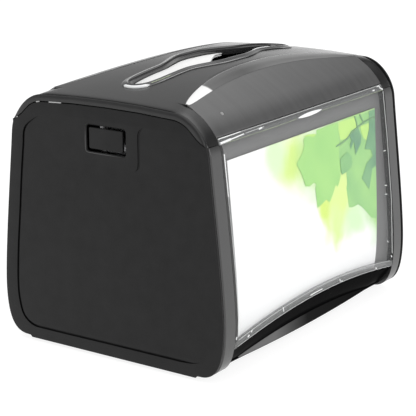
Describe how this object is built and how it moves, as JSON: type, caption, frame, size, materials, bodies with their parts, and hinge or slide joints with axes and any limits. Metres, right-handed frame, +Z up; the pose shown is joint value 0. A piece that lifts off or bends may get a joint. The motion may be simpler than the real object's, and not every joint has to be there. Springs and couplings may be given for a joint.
{
  "type": "napkin dispenser",
  "caption": "Tabletop napkin dispenser: domed grey housing with a slot on top, clear display windows on both long sides and a push-button loading door at one end.",
  "frame": {"origin": "centre of the bounding box's underside, on the surface that it stands on", "axes": "+X along the length, from the loading door at -X to the fixed end panel; the two display windows face -Y (front) and +Y (rear); +Z up"},
  "size_m": [0.201, 0.15, 0.1564],
  "materials": {
    "matte_grey": "fine satin texture, medium grey",
    "gloss_grey": "polished, medium grey",
    "bezel_grey": "polished, light grey",
    "charcoal": "fine satin texture, charcoal",
    "gloss_black": "polished black",
    "clear": "polished clear",
    "card": "printed card",
    "paper": "soft tissue paper",
    "rubber": "soft black",
    "steel": "plated"
  },
  "bodies": {
    "housing": {"body_shell": "matte_grey", "top_cover": "matte_grey", "side_hood_front": "gloss_grey", "side_hood_rear": "gloss_grey", "slot_bezel": "bezel_grey", "dispensing_plate": "gloss_black", "base_tray": "gloss_black", "end_panel": "charcoal", "door_lintel": "charcoal", "insert_card_front": "card", "insert_card_rear": "card", "foot_strip_door": "rubber", "foot_strip_end": "rubber", "guide_rail_front": "steel", "guide_rail_rear": "steel", "hinge_pin_front": "steel", "hinge_pin_rear": "steel", "base_screw_1": "steel", "base_screw_2": "steel", "base_screw_3": "steel", "base_screw_4": "steel", "top_napkin": "paper", "platform_spring_door": "steel", "platform_spring_end": "steel"},
    "door": {"door_panel": "charcoal", "door_liner": "charcoal", "liner_screw_1": "steel", "liner_screw_2": "steel", "liner_screw_3": "steel", "liner_screw_4": "steel", "latch_spring": "steel"},
    "button": {"door_button": "charcoal"},
    "latch": {"latch_bolt": "steel"},
    "carriage": {"napkin_platform": "charcoal", "napkin_stack": "paper"},
    "front_window": {"window_front": "clear"},
    "rear_window": {"window_rear": "clear"}
  },
  "joints": [
    {"name": "door_hinge", "type": "hinge", "parent": "housing", "child": "door", "pos_m": [-0.0974, 0, 0.0049], "axis": [0, -1, 0], "range_deg": [0, 90]},
    {"name": "button_push", "type": "slide", "parent": "door", "child": "button", "axis": [1, 0, 0], "range_m": [0, 0.0018], "stiffness_N_per_m": 800, "springref_m": -0.002},
    {"name": "latch_slide", "type": "slide", "parent": "door", "child": "latch", "axis": [0, 0, 1], "range_m": [-0.0018, 0], "stiffness_N_per_m": 500, "springref_m": 0.003, "deforming": ["latch_spring"]},
    {"name": "platform_slide", "type": "slide", "parent": "housing", "child": "carriage", "axis": [0, 0, 1], "range_m": [-0.05, 0], "stiffness_N_per_m": 250, "springref_m": 0.06, "deforming": ["platform_spring_door", "platform_spring_end"]},
    {"name": "front_window_tilt", "type": "hinge", "parent": "housing", "child": "front_window", "pos_m": [0, -0.0723, 0.0175], "axis": [1, 0, 0], "range_deg": [0, 40]},
    {"name": "rear_window_tilt", "type": "hinge", "parent": "housing", "child": "rear_window", "pos_m": [0, 0.0723, 0.0175], "axis": [-1, 0, 0], "range_deg": [0, 40]}
  ],
  "couplings": [
    {"joint": "latch_slide", "follows": "button_push", "ratio": -1}
  ]
}
